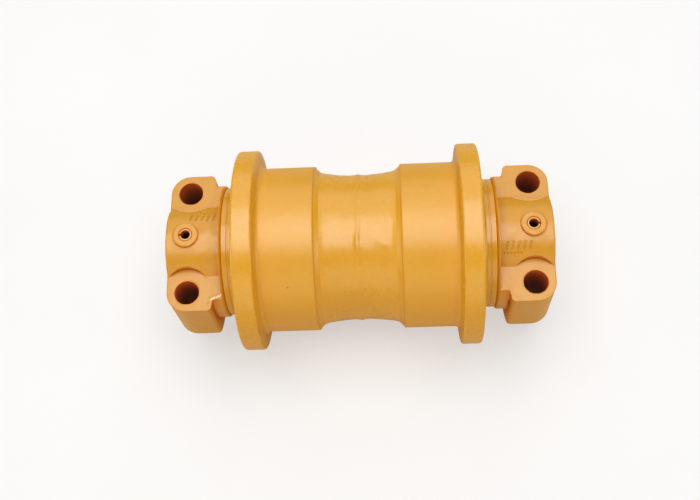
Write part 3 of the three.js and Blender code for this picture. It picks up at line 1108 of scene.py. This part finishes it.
# the roller is sprayed once it is together, so both shaft ends and the plug's head carry paint
for ob, start in ((shaft, 203.0), (plug, 202.6)):
    ob.data.materials.append(END)
    for f in ob.data.polygons:
        c = f.center / MM
        deep_hole = (c.y - GY) ** 2 + c.z**2 < 11.0**2 and c.x < 202.6 or c.y**2 + c.z**2 < 3.4**2
        if abs(c.x) > start and not deep_hole:
            f.material_index = 1
BRONZE = metal("bronze", (0.62, 0.37, 0.16), 0.3, 1.0)
IRON = metal("seal_iron", (0.42, 0.43, 0.44), 0.22, 0.6)
RUBBER = rubber("nitrile")
for ob in INNER["bronze"]:
    dress(ob, BRONZE)
for ob in INNER["seal_iron"]:
    dress(ob, IRON)
for ob in INNER["nitrile"]:
    dress(ob, RUBBER)

# ------------------------------------------------------------------ floor, lights, camera

me = bpy.data.meshes.new("floor")
S = 9.0
me.from_pydata([(-S, -S, 0), (S, -S, 0), (S, S, 0), (-S, S, 0)], [], [(0, 1, 2, 3)])
floor = bpy.data.objects.new("floor", me)
floor.location.z = -0.1097
bpy.context.scene.collection.objects.link(floor)
ft = Tree("pale_floor")
ft.link(ft.mix(ft.ramp(ft.noise(6, 3), 0.3, 0.7), (0.92, 0.92, 0.92), (0.94, 0.94, 0.935)), ft.bsdf.inputs["Base Color"])
ft.bsdf.inputs["Roughness"].default_value = 0.95
ft.bsdf.inputs["Specular IOR Level"].default_value = 0.05
# the backdrop's own light bounces back weaker than it looks, as from a floor with dark surroundings
dim = ft.node("ShaderNodeBsdfDiffuse")
dim.inputs["Color"].default_value = (0.68, 0.58, 0.40, 1)
path = ft.node("ShaderNodeLightPath")
# seen directly, it glows a little of its own, so that the shadows on it stay faint
glow = ft.node("ShaderNodeEmission")
glow.inputs["Color"].default_value = (0.93, 0.93, 0.93, 1)
pale_mix = ft.node("ShaderNodeMixShader")
# farther out, where the lamps no longer reach, it glows more, up to the tone of the room
reach = ft.node("ShaderNodeVectorMath", operation="LENGTH")
ft.link(ft.coord, reach.inputs[0])
ft.link(ft.ramp(reach.outputs["Value"], 0.6, 1.8, 0.5, 1.0), pale_mix.inputs[0])
ft.link(ft.bsdf.outputs[0], pale_mix.inputs[1])
ft.link(glow.outputs[0], pale_mix.inputs[2])
mixer = ft.node("ShaderNodeMixShader")
ft.link(path.outputs["Is Camera Ray"], mixer.inputs[0])
ft.link(dim.outputs[0], mixer.inputs[1])
ft.link(pale_mix.outputs[0], mixer.inputs[2])
ft.link(mixer.outputs[0], ft.out.inputs[0])
dress(floor, ft.mat)

world = bpy.data.worlds.new("studio")
bpy.context.scene.world = world
world.use_nodes = True
wt = world.node_tree
bg = wt.nodes["Background"]
bg.inputs[0].default_value = (1.0, 1.0, 1.0, 1.0)
bg.inputs[1].default_value = 0.18
# seen directly, the room is as pale as the floor
pale = wt.nodes.new("ShaderNodeBackground")
pale.inputs[0].default_value = (1.0, 1.0, 1.0, 1.0)
pale.inputs[1].default_value = 0.93
seen = wt.nodes.new("ShaderNodeLightPath")
pick = wt.nodes.new("ShaderNodeMixShader")
wt.links.new(seen.outputs["Is Camera Ray"], pick.inputs[0])
wt.links.new(bg.outputs[0], pick.inputs[1])
wt.links.new(pale.outputs[0], pick.inputs[2])
wt.links.new(pick.outputs[0], wt.nodes["World Output"].inputs[0])


def softbox(name, loc, target, size, power, colour=(1, 1, 1)):
    d = bpy.data.lights.new(name, "AREA")
    d.shape = "RECTANGLE"
    d.size, d.size_y = size
    d.energy = power
    d.color = colour
    o = bpy.data.objects.new(name, d)
    o.location = loc
    o.rotation_euler = (Vector(target) - Vector(loc)).to_track_quat("-Z", "Y").to_euler()
    bpy.context.scene.collection.objects.link(o)
    return o


softbox("key", (0.0, 0.06, 1.75), (0, 0, 0), (1.7, 1.5), 26)
softbox("back", (0.0, 1.7, 1.35), (0, 0, 0), (2.4, 1.9), 15, (1.0, 0.98, 0.94))
softbox("fill_front", (-0.2, -2.2, 0.8), (0, 0, 0), (3.0, 1.8), 20, (1.0, 0.85, 0.6))
for s in (-1, 1):
    softbox("side", (2.0 * s, -0.2, 0.45), (0, 0, 0), (1.0, 0.8), 8)

# camera: azimuth, elevation and roll in degrees; t is the frame's origin seen from it, in mm
AZ, EL, ROLL = 6.598, 67.88, 8.009
CAM_T = (11.493, -3.185, 1173.435)
FOCAL_PX = 1062.332
a, e, ro = (math.radians(v) for v in (AZ, EL, ROLL))
back = Vector((math.sin(a) * math.cos(e), -math.cos(a) * math.cos(e), math.sin(e)))
fwd = -back
right = fwd.cross(Vector((0, 0, 1))).normalized()
down = fwd.cross(right)
right2 = math.cos(ro) * right + math.sin(ro) * down
down2 = -math.sin(ro) * right + math.cos(ro) * down
loc = -(right2 * CAM_T[0] + down2 * CAM_T[1] + fwd * CAM_T[2]) * MM
cam_data = bpy.data.cameras.new("camera")
cam_data.sensor_width = 36.0
cam_data.sensor_fit = "HORIZONTAL"
cam_data.lens = FOCAL_PX * 36.0 / 700.0
cam_data.clip_start, cam_data.clip_end = 0.02, 60
cam = bpy.data.objects.new("camera", cam_data)
m = Matrix.Identity(4)
for i in range(3):
    m[i][0], m[i][1], m[i][2], m[i][3] = right2[i], -down2[i], -fwd[i], loc[i]
cam.matrix_world = m
bpy.context.scene.collection.objects.link(cam)
bpy.context.scene.camera = cam

vs = bpy.context.scene.view_settings
vs.view_transform = "Standard"
vs.look = "None"
vs.exposure = 0.0
vs.gamma = 1.0

# ------------------------------------------------------------------ done
bpy.context.view_layer.update()
